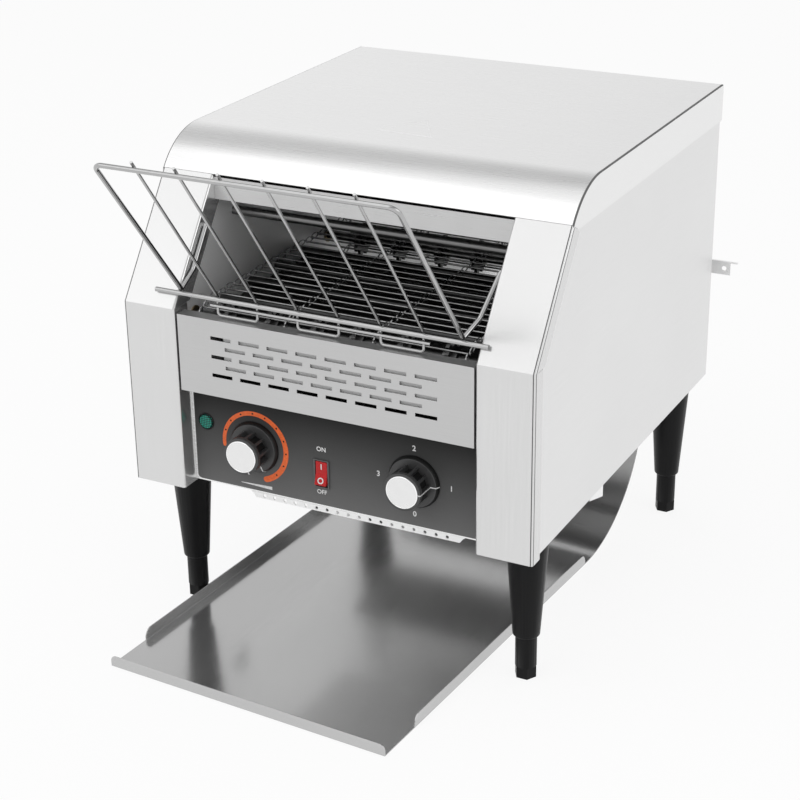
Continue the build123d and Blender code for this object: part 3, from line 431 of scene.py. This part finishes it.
def makePressMark():
    bm = bmesh.new()
    corners = [bm.verts.new(at(x, y, shell["top"] - pressMark["sink"])) for x, y in pressMark["corners"]]
    face = bmesh.ops.contextual_create(bm, geom=corners)["faces"][0]
    bmesh.ops.inset_region(bm, faces=[face], thickness=pressMark["width"] * 0.001, use_even_offset=True,
                           use_boundary=True)
    bmesh.ops.delete(bm, geom=[face], context="FACES")
    bm.normal_update()
    if bm.faces[:][0].normal.z < 0:
        bmesh.ops.reverse_faces(bm, faces=bm.faces[:])
    piece = finishPiece("pressMark", bm, "casing", "topSteel", (), 30, outward=False)
    thicken(piece, pressMark["rise"], 1.0)
    roundEdges(piece, pressMark["edge"], 2, 40)


makeCover()
makePressMark()
print("cover made")


# front columns: topGap keeps them off the cover's tip
column = {"sideDepth": 14.0, "return": 20.0, "fold": 2.2, "foldSteps": 4, "slit": 0.8, "topGap": 0.3,
          "darkFacets": ((0.15, 0.32), (0.9, 0.985))}


def makeColumn(side):
    bm = bmesh.new()
    inner, outer = shell["inner"], shell["halfWidth"]
    topY, topZ = onSlope(slopeLength)
    topZ -= column["topGap"]
    low = bm.verts.new(at(inner, 0, shell["bottom"]))
    middle = bm.verts.new(at(inner, 0, shell["breakZ"]))
    high = bm.verts.new(at(inner, topY, topZ))
    spine = [bm.edges.new((low, middle)), bm.edges.new((middle, high))]
    swept = bmesh.ops.extrude_edge_only(bm, edges=spine)["geom"]
    bmesh.ops.translate(bm, verts=vertsOf(swept), vec=((outer - inner) * 0.001, 0, 0))

    def foldBack(x, depth):
        # each part of the flange is folded by itself, with a slit where the front bends
        rim = [e for e in bm.edges if all(abs(v.co.x - x * 0.001) < 1e-6 for v in e.verts)]
        half = column["slit"] / 2
        for edge in rim:
            upright = min(v.co.z for v in edge.verts) < (shell["bottom"] + 1) * 0.001
            for vert in vertsOf(bmesh.ops.extrude_edge_only(bm, edges=[edge])["geom"]):
                z = vert.co.z * 1000
                if upright:
                    vert.co = at(x, depth, shell["bottom"] if z < shell["breakZ"] - 1 else shell["breakZ"] - half)
                elif z > shell["breakZ"] + 1:
                    y, z = onSlope(slopeLength, depth)
                    vert.co = at(x, y, z - column["topGap"])
                else:
                    along = (half + depth * math.cos(slopeTurn)) / math.sin(slopeTurn)
                    vert.co = at(x, *onSlope(along, depth))

    foldBack(inner, column["return"])
    foldBack(outer, column["sideDepth"])
    bmesh.ops.recalc_face_normals(bm, faces=bm.faces)
    creases = [e for e in bm.edges if len(e.link_faces) == 2 and e.calc_face_angle(0) > math.radians(60)]
    bendEdges(bm, creases, column["fold"], column["foldSteps"])
    if side < 0:
        bmesh.ops.scale(bm, verts=bm.verts, vec=(-1, 1, 1))
    word = "Right" if side > 0 else "Left"
    piece = finishPiece("column" + word, bm, "casing", "frontSteel", ("column_" + word.lower(),), 8)
    face = max(piece.data.polygons, key=lambda p: p.area)
    if face.normal.y > 0:
        piece.data.flip_normals()
    paintFoldShade(piece, column["darkFacets"], side)
    thicken(piece, shell["sheet"])


for side in (-1, 1):
    makeColumn(side)
print("columns made")

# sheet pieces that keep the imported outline
sheetPieces = {
    "side_panel_left": ("sideSteel", 0.3), "side_panel_right": ("sideSteel", 0.3),
    "vent_panel": ("panelSteel", 0.22), "control_panel": ("frameSteel", 0.25), "base_grille": ("lipSteel", 0.2),
    "base_plate": ("frameSteel", 0.3), "rear_guide": ("innerSteel", 0.2), "drop_wall": ("innerSteel", 0.2),
    "rear_panel": ("backSteel", 0.25), "spacer_left": ("lipSteel", 0.25), "spacer_right": ("lipSteel", 0.25),
    "upper_reflector": ("baffleSteel", 0.25),
    "chamber_wall_left": ("wallSteel", 0.2), "chamber_wall_right": ("wallSteel", 0.2),
}
for node, (finish, width) in sheetPieces.items():
    fromNode(node, finish, width)
print("sheet pieces made")

# bright sheet close behind the vent slots
shield = {"x": (-91.0, 121.0), "z": (240.3, 284.0), "y": 4.4, "sheet": 0.8}


def makeShield():
    bm = bmesh.new()
    (x0, x1), (z0, z1) = shield["x"], shield["z"]
    ends = [bm.verts.new(at(x, shield["y"], z0)) for x in (x0, x1)]
    grown = bmesh.ops.extrude_edge_only(bm, edges=[bm.edges.new(ends)])["geom"]
    bmesh.ops.translate(bm, verts=vertsOf(grown), vec=(0, 0, (z1 - z0) * 0.001))
    thicken(finishPiece("ventShield", bm, "casing", "shieldSteel", (), 30), shield["sheet"])


makeShield()


# wire belt: cross wires and rows of link rings
belt = {"front": 32.0, "rear": 258.0, "z": 276.0, "radius": 16.5, "wires": 46, "half": 121.2, "wire": 0.85,
        "wireSides": 10, "rows": (-120.0, -40.0, 40.0, 120.0), "ringLong": 6.3, "ringHigh": 2.4, "ringWire": 0.65,
        "ringSides": 6, "ringSteps": 12, "stagger": 0.7}


def beltPoint(distance):
    # place on the loop and the turn there, counted from the front of the upper run
    run = belt["rear"] - belt["front"]
    radius = belt["radius"]
    bend = math.pi * radius
    distance %= 2 * (run + bend)
    if distance < run:
        return belt["front"] + distance, belt["z"] + radius, 0.0
    if distance < run + bend:
        turn = (distance - run) / radius
        return belt["rear"] + radius * math.sin(turn), belt["z"] + radius * math.cos(turn), -turn
    if distance < 2 * run + bend:
        return belt["rear"] - (distance - run - bend), belt["z"] - radius, math.pi
    turn = (distance - 2 * run - bend) / radius
    return belt["front"] - radius * math.sin(turn), belt["z"] - radius * math.cos(turn), math.pi - turn


def makeBelt():
    ring = bmesh.new()
    bmesh.ops.create_circle(ring, segments=belt["ringSides"], radius=belt["ringWire"] * 0.001,
                            matrix=Matrix.Translation((0, belt["ringLong"] * 0.001, 0)))
    bmesh.ops.spin(ring, geom=ring.verts[:] + ring.edges[:], cent=(0, 0, 0), axis=(1, 0, 0), angle=2 * math.pi,
                   steps=belt["ringSteps"], use_merge=True)
    bmesh.ops.scale(ring, vec=(1, 1, belt["ringHigh"] / belt["ringLong"]), verts=ring.verts)
    linkRing = bpy.data.meshes.new("linkRing")
    ring.to_mesh(linkRing)
    ring.free()
    bm = bmesh.new()
    pitch = (2 * (belt["rear"] - belt["front"]) + 2 * math.pi * belt["radius"]) / belt["wires"]
    across = Matrix.Rotation(math.radians(90), 4, "Y")
    for index in range(belt["wires"]):
        y, z = beltPoint(index * pitch)[:2]
        bmesh.ops.create_cone(bm, cap_ends=True, segments=belt["wireSides"], radius1=belt["wire"] * 0.001,
                              radius2=belt["wire"] * 0.001, depth=2 * belt["half"] * 0.001,
                              matrix=Matrix.Translation(at(0, y, z)) @ across)
        y, z, turn = beltPoint((index + 0.5) * pitch)
        aside = belt["stagger"] if index % 2 else -belt["stagger"]
        for x in belt["rows"]:
            place = Matrix.Translation(at(x + aside, y, z)) @ Matrix.Rotation(turn, 4, "X")
            linkRing.transform(place)
            bm.from_mesh(linkRing)
            linkRing.transform(place.inverted())
    bpy.data.meshes.remove(linkRing)
    return finishPiece("wireBelt", bm, nodes["conveyor_belt"]["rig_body"], "beltWire", ("conveyor_belt",),
                       40)


makeBelt()
print("belt made")


# knobs, lamp and printed marks on the fascia
panel = {"y": 18.0, "lift": 0.05, "switchX": -11.55}
knobs = {"colour": {"x": -74.8, "z": 172.5, "pointer": -64.0}, "selector": {"x": 73.3, "z": 171.8, "pointer": 0.0}}
knob = {"back": 17.6, "skirt": ((22.8, 0.0), (22.8, 0.6), (21.2, 3.8), (20.8, 4.1)), "grip": 16.2, "flutes": 10,
        "floor": 12.6, "pocket": 12.0, "slant": 2.0, "fluteTop": 18.2, "front": 21.8, "cap": 22.6, "capRadius": 14.0,
        "rim": 0.95, "rimEdge": 0.3, "edge": 0.5, "wallFrom": 21.3, "segments": 180, "capSegments": 120, "line": 1.0,
        "linePath": ((14.1, 21.86), (15.75, 21.86), (16.28, 21.35), (16.28, 4.17), (20.85, 4.17), (21.3, 3.85),
                     (22.88, 0.6))}


def facing(x, y, z):
    # from a flat drawing to the panel: across, up and out towards the front
    place = at(x, y, z)
    return Matrix(((1, 0, 0, place.x), (0, 0, -1, place.y), (0, 1, 0, place.z), (0, 0, 0, 1)))


def turnedShape(steps, segments=96, reach=None, closed=True):
    # rings of given radius and height, one grown from the other
    bm = bmesh.new()
    bmesh.ops.create_circle(bm, segments=segments, radius=steps[0][0] * 0.001,
                            matrix=Matrix.Translation((0, 0, steps[0][1] * 0.001)))
    rim = bm.edges[:]
    for radius, height in steps[1:]:
        grown = bmesh.ops.extrude_edge_only(bm, edges=rim)["geom"]
        fresh = set(vertsOf(grown))
        for vert in fresh:
            angle = math.atan2(vert.co.y, vert.co.x)
            length = reach(angle, radius, height) if reach else radius
            vert.co = Vector((math.cos(angle) * length, math.sin(angle) * length, height)) * 0.001
        rim = [e for e in edgesOf(grown) if e.verts[0] in fresh and e.verts[1] in fresh]
    if closed:
        bmesh.ops.contextual_create(bm, geom=rim)
    return bm


def onPanel(name, bm, place, body, finish, replaced=(), smooth=35.0, outward=True):
    bmesh.ops.transform(bm, matrix=place, verts=bm.verts)
    return finishPiece(name, bm, body, finish, replaced, smooth, outward)


def makeKnob(word):
    spot = knobs[word]
    node = word + "_knob"
    body = nodes[node]["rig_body"]
    place = facing(spot["x"], knob["back"], spot["z"])
    step = 2 * math.pi / knob["flutes"]
    first = math.radians(spot["pointer"]) + step / 2

    def reach(angle, radius, height):
        if radius != knob["grip"] or height > knob["fluteTop"]:
            return radius
        off = abs(math.degrees((angle - first + step / 2) % step - step / 2))
        share = min(1.0, max(0.0, (off - knob["pocket"]) / knob["slant"]))
        return knob["floor"] + (radius - knob["floor"]) * share

    grip, front, edge = knob["grip"], knob["front"], knob["edge"]
    steps = list(knob["skirt"]) + [(grip, knob["skirt"][-1][1]), (grip, knob["fluteTop"]),
                                   (grip, knob["fluteTop"] + 0.001), (grip, front - edge),
                                   (grip - 0.3 * edge, front - 0.3 * edge), (grip - edge, front)]
    bm = turnedShape(steps, knob["segments"], reach)
    piece = onPanel(word + "Knob", bm, place, body, "knobPlastic", (node,), 32)
    # pocket floors and the skirt's outer wall take the darker black plastic: painted shade on the knob's one plastic
    piece.data.materials.append(finishes["blackPlastic"])
    for face in piece.data.polygons:
        middle = place.inverted() @ face.center
        shadedPocket = middle.xy.length < (knob["floor"] + 0.6) * 0.001 and middle.z < knob["fluteTop"] * 0.001
        if shadedPocket or middle.xy.length > knob["wallFrom"] * 0.001:
            face.material_index = 1
    rimOut, top, edge = knob["capRadius"], knob["cap"], knob["rimEdge"]
    rimIn = rimOut - knob["rim"]
    bm = turnedShape([(rimOut, front - edge), (rimOut, top - edge), (rimOut - edge, top), (rimIn + 0.1, top),
                      (rimIn, top - 0.12)], knob["capSegments"], closed=False)
    # the rim takes a brighter copy of the cap metal: a painted highlight
    onPanel(word + "KnobRim", bm, place, body, "capRimHighlight", (), 50)
    bm = turnedShape([(rimOut - 0.1, front - 0.2), (rimIn + 0.05, top - 0.1), (rimIn - 0.2, top - 0.1),
                      (rimIn / 2, top - 0.06)], knob["capSegments"])
    onPanel(word + "KnobCap", bm, place, body, "capMetal", (node + "_cap",), 30)
    # painted line over the front ring, the grip and the skirt, by radius and height
    bm = bmesh.new()
    verts = [bm.verts.new((r * 0.001, -knob["line"] * 0.0005, h * 0.001)) for r, h in knob["linePath"]]
    edges = [bm.edges.new(pair) for pair in zip(verts, verts[1:])]
    grown = bmesh.ops.extrude_edge_only(bm, edges=edges)["geom"]
    bmesh.ops.translate(bm, verts=vertsOf(grown), vec=(0, knob["line"] * 0.001, 0))
    turn = Matrix.Rotation(math.radians(spot["pointer"]), 4, "Z")
    bmesh.ops.transform(bm, matrix=turn, verts=bm.verts)
    onPanel(word + "Pointer", bm, place, body, "markWhite", (), 20)


for word in knobs:
    makeKnob(word)

lamp = {"x": -121.4, "z": 186.7,
        "bezel": ((7.5, 0.0), (7.5, 0.6), (7.2, 0.9), (6.9, 0.9), (6.6, 0.5), (6.6, -3.0)),
        "lens": ((6.4, -2.5), (6.4, 0.9), (6.1, 1.6), (5.3, 2.1), (3.9, 2.34), (1.8, 2.4))}


def makeLamp():
    place = facing(lamp["x"], panel["y"], lamp["z"])
    onPanel("lampBezel", turnedShape(lamp["bezel"], closed=False), place, "casing", "blackPlastic", ("lamp_bezel",),
            40)
    onPanel("lampLens", turnedShape(lamp["lens"]), place, "casing", "greenLens", ("lamp_lens",),
            50)


makeLamp()

arcMark = {"radius": 29.7, "start": 187.0, "sweep": -258.0, "widths": (3.3, 5.2), "dot": 0.8,
           "dots": (160, 139, 115, 92, 69, 44, 20, -2, -25, -48), "endDrop": 0.01}
# each word with its place across and up and its height
words = {
    "markOn": ("ON", -11.6, 182.6, 3.9), "markOff": ("OFF", -12.0, 143.9, 3.7),
    "markNumber0": ("0", 73.3, 142.6, 4.6), "markNumber1": ("1", 106.0, 171.8, 4.6),
    "markNumber2": ("2", 73.3, 200.6, 4.6), "markNumber3": ("3", 40.8, 171.8, 4.6),
}
wedge = {"x": -74.8, "z": 137.0, "length": 30.0, "heights": (0.5, 3.0)}
# each sign with its height on the rocker, its depth, its tilt and its size
rockerMarks = {"rockerMarkOn": ("I", 167.0, 17.12, 0.4, 4.8), "rockerMarkOff": ("O", 155.2, 15.1, -16.9, 5.0)}


def flatMark(name, bm, x, y, z, finish, body="casing", tilt=0.0, smooth=30.0):
    place = facing(x, y, z) @ Matrix.Rotation(math.radians(tilt), 4, "X")
    bmesh.ops.transform(bm, matrix=place, verts=bm.verts)
    bm.normal_update()
    backward = [face for face in bm.faces if face.normal.y > 0]
    bmesh.ops.reverse_faces(bm, faces=backward)
    return finishPiece(name, bm, body, finish, (), smooth, outward=False)


def onArc(degrees, height=0.0):
    turn = math.radians(degrees)
    radius = arcMark["radius"]
    return Matrix.Translation((math.cos(turn) * radius * 0.001, math.sin(turn) * radius * 0.001, height))


def makeArcMark():
    spot = knobs["colour"]
    bm = bmesh.new()
    mean = arcMark["radius"]
    begin = math.radians(arcMark["start"])
    ends = [bm.verts.new((math.cos(begin) * r * 0.001, math.sin(begin) * r * 0.001, 0)) for r in (mean - 1, mean + 1)]
    edge = bm.edges.new(ends)
    bmesh.ops.spin(bm, geom=ends + [edge], cent=(0, 0, 0), axis=(0, 0, 1), angle=math.radians(arcMark["sweep"]),
                   steps=96)
    narrow, wide = arcMark["widths"]
    for vert in bm.verts:
        angle = math.degrees(math.atan2(vert.co.y, vert.co.x))
        share = ((arcMark["start"] - angle + 5) % 360 - 5) / -arcMark["sweep"]
        half = (narrow + (wide - narrow) * share) / 2
        outer = vert.co.length > mean * 0.001
        vert.co = vert.co.normalized() * (mean + (half if outer else -half)) * 0.001
    for angle, width in ((arcMark["start"], narrow), (arcMark["start"] + arcMark["sweep"], wide)):
        bmesh.ops.create_circle(bm, cap_ends=True, segments=24, radius=width * 0.0005,
                                matrix=onArc(angle, -arcMark["endDrop"] * 0.001))
    flatMark("markArc", bm, spot["x"], panel["y"] - panel["lift"], spot["z"], "markOrange")
    bm = bmesh.new()
    for angle in arcMark["dots"]:
        bmesh.ops.create_circle(bm, cap_ends=True, segments=16, radius=arcMark["dot"] * 0.001, matrix=onArc(angle))
    flatMark("markDots", bm, spot["x"], panel["y"] - 2 * panel["lift"], spot["z"], "markBlack")


def drawWords(text, height):
    curve = bpy.data.curves.new("words", "FONT")
    curve.body = text
    curve.size = height * 0.001 / 0.7
    curve.align_x = "CENTER"
    curve.align_y = "CENTER"
    curve.offset = height * 0.00003
    writer = bpy.data.objects.new("words", curve)
    mesh = bpy.data.meshes.new_from_object(writer)
    bm = bmesh.new()
    bm.from_mesh(mesh)
    bpy.data.objects.remove(writer)
    bpy.data.curves.remove(curve)
    bpy.data.meshes.remove(mesh)
    return bm


def makeMarks():
    for name, (text, x, z, height) in words.items():
        flatMark(name, drawWords(text, height), x, panel["y"] - panel["lift"], z, "markWhite")
    for name, (text, z, y, tilt, height) in rockerMarks.items():
        flatMark(name, drawWords(text, height), panel["switchX"], y - 2 * panel["lift"], z, "markWhite",
                 nodes["power_rocker"]["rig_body"], tilt)
    bm = bmesh.new()
    half = wedge["length"] / 2
    low, high = wedge["heights"]
    outline = ((-half, -low / 2), (half, -high / 2), (half, high / 2), (-half, low / 2))
    bmesh.ops.contextual_create(bm, geom=[bm.verts.new((u * 0.001, v * 0.001, 0)) for u, v in outline])
    flatMark("markWedge", bm, wedge["x"], panel["y"] - panel["lift"], wedge["z"], "markWhite")


makeArcMark()
makeMarks()
print("controls made")

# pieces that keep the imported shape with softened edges
smallPieces = {
    "rear_screws": ("bareSteel", 0.5), "cable_gland": ("blackPlastic", 0.6), "switch_housing": ("housingPlastic", 0.3),
    "power_rocker": ("redPlastic", 0.5), "toast_tray": ("traySteel", 0.25), "control_fascia": ("fasciaFilm", 0.15),
}
for corner in ("front_left", "front_right", "rear_left", "rear_right"):
    smallPieces["leg_" + corner] = ("legPlastic", 0.6)
    smallPieces["foot_" + corner] = ("legPlastic", 0.4)
for node, (finish, width) in smallPieces.items():
    fromNode(node, finish, width)
for node in ("rack_frame", "rack_wires", "rack_arms"):
    fromNode(node, "rackChrome", 0)
print("small pieces made")

# carried-over nodes; the lower reflector takes the near-black tube finish as painted shade, so the belt's front shows
# black between its wires
kept = {
    "lower_reflector": "sheathedTube", "upper_tubes": "elementSteel", "lower_tubes": "sheathedTube",
    "element_holders": "darkSteel", "service_deck": "sheathedTube", "shaft_bushes": "bronze",
    "front_shaft": "darkSteel", "rear_shaft": "darkSteel", "gear_motor": "bareSteel",
    "motor_sprocket": "bareSteel", "drive_chain": "darkSteel", "fan_housing": "blackPlastic",
    "fan_rotor": "blackPlastic", "colour_control": "innerPlastic", "selector_switch": "innerPlastic",
    "terminal_block": "whitePlastic",
}
for node, finish in kept.items():
    nodes[node].data.materials.clear()
    nodes[node].data.materials.append(finishes[finish])
print("carried-over nodes dressed")


# floor, world and lamps
studio = {"floorSize": 40.0, "floorDrop": 0.2, "floorGrey": 0.92, "shadowShow": 0.12, "ambient": 0.68,
          "aim": (0, 0, 0.22), "ceiling": 0.5,
          "ceilingFrom": 0.42, "ceilingTo": 0.72, "dim": 0.17, "dimX": (-0.60, -0.15), "dimY": (0.35, 0.65)}


def sums(tree, operation, first, second):
    # Math node on two sockets, or on a socket and a number
    node = tree.nodes.new("ShaderNodeMath")
    node.operation = operation
    link(tree, first, node.inputs[0])
    if isinstance(second, float):
        node.inputs[1].default_value = second
    else:
        link(tree, second, node.inputs[1])
    return node.outputs[0]


def blendShaders(tree, share, first, second):
    node = tree.nodes.new("ShaderNodeMixShader")
    link(tree, share, node.inputs["Fac"])
    link(tree, first, node.inputs[1])
    link(tree, second, node.inputs[2])
    return node.outputs["Shader"]


def whiteSky(tree, strength=1.0):
    node = tree.nodes.new("ShaderNodeBackground")
    node.inputs["Color"].default_value = (1, 1, 1, 1)
    node.inputs["Strength"].default_value = strength
    return node


def cameraSees(tree):
    # 1 for rays that show the backdrop: camera, mirror and glass rays
    path = tree.nodes.new("ShaderNodeLightPath")
    seen = sums(tree, "MAXIMUM", path.outputs["Is Camera Ray"], path.outputs["Is Glossy Ray"])
    return sums(tree, "MAXIMUM", seen, path.outputs["Is Transmission Ray"])


def makeFloor():
    bm = bmesh.new()
    bmesh.ops.create_grid(bm, x_segments=1, y_segments=1, size=studio["floorSize"] / 2)
    mesh = bpy.data.meshes.new("floor")
    bm.to_mesh(mesh)
    bm.free()
    floor = bpy.data.objects.new("floor", mesh)
    floor.location.z = -studio["floorDrop"] * 0.001
    bpy.context.scene.collection.objects.link(floor)
    material = bpy.data.materials.new("floorPaper")
    material.use_nodes = True
    tree = material.node_tree
    tree.nodes.clear()
    out = tree.nodes.new("ShaderNodeOutputMaterial")
    paper = tree.nodes.new("ShaderNodeBsdfDiffuse")
    paper.inputs["Color"].default_value = (*grey(studio["floorGrey"]), 1)
    glow = tree.nodes.new("ShaderNodeEmission")
    glow.inputs["Color"].default_value = (1, 1, 1, 1)
    glow.inputs["Strength"].default_value = 1.0
    share = sums(tree, "MULTIPLY", cameraSees(tree), 1.0 - studio["shadowShow"])
    link(tree, blendShaders(tree, share, paper.outputs["BSDF"], glow.outputs["Emission"]), out.inputs["Surface"])
    mesh.materials.append(material)


def makeWorld():
    world = bpy.data.worlds.new("studio")
    bpy.context.scene.world = world
    world.use_nodes = True
    tree = world.node_tree
    tree.nodes.clear()
    out = tree.nodes.new("ShaderNodeOutputWorld")
    place = tree.nodes.new("ShaderNodeTexCoord")
    split = tree.nodes.new("ShaderNodeSeparateXYZ")
    link(tree, place.outputs["Generated"], split.inputs["Vector"])
    # mirror rays meet a darker ceiling, and a wall behind the object that is dimmer towards the right
    high = spread(tree, split.outputs["Z"], 1.0, studio["ceiling"], studio["ceilingFrom"], studio["ceilingTo"])
    right = spread(tree, split.outputs["X"], 0.0, studio["dim"], *studio["dimX"])
    behind = spread(tree, split.outputs["Y"], 0.0, 1.0, *studio["dimY"])
    mirrorSky = whiteSky(tree)
    link(tree, sums(tree, "SUBTRACT", high, sums(tree, "MULTIPLY", right, behind)), mirrorSky.inputs["Strength"])
    path = tree.nodes.new("ShaderNodeLightPath")
    shown = blendShaders(tree, path.outputs["Is Glossy Ray"], whiteSky(tree).outputs["Background"],
                         mirrorSky.outputs["Background"])
    ambient = whiteSky(tree, studio["ambient"])
    link(tree, blendShaders(tree, cameraSees(tree), ambient.outputs["Background"], shown), out.inputs["Surface"])


lamps = {
    "keyLamp": {"place": (-0.9, -1.45, 2.05), "size": 2.4, "power": 13.0},
    "sideLamp": {"place": (2.2, -0.3, 1.5), "size": 1.6, "power": 7.2},
    "topLamp": {"place": (-0.3, -0.3, 2.9), "size": 2.4, "power": 9.0},
}


def makeLamps():
    aim = Vector(studio["aim"])
    for name, lamp in lamps.items():
        data = bpy.data.lights.new(name, "AREA")
        data.shape = "SQUARE"
        data.size = lamp["size"]
        data.energy = lamp["power"]
        light = bpy.data.objects.new(name, data)
        place = Vector(lamp["place"])
        light.matrix_world = Matrix.Translation(place) @ (aim - place).to_track_quat("-Z", "Y").to_matrix().to_4x4()
        bpy.context.scene.collection.objects.link(light)


makeFloor()
makeWorld()
makeLamps()
bpy.context.scene.view_settings.view_transform = "Standard"
print("studio set")

bpy.context.view_layer.update()
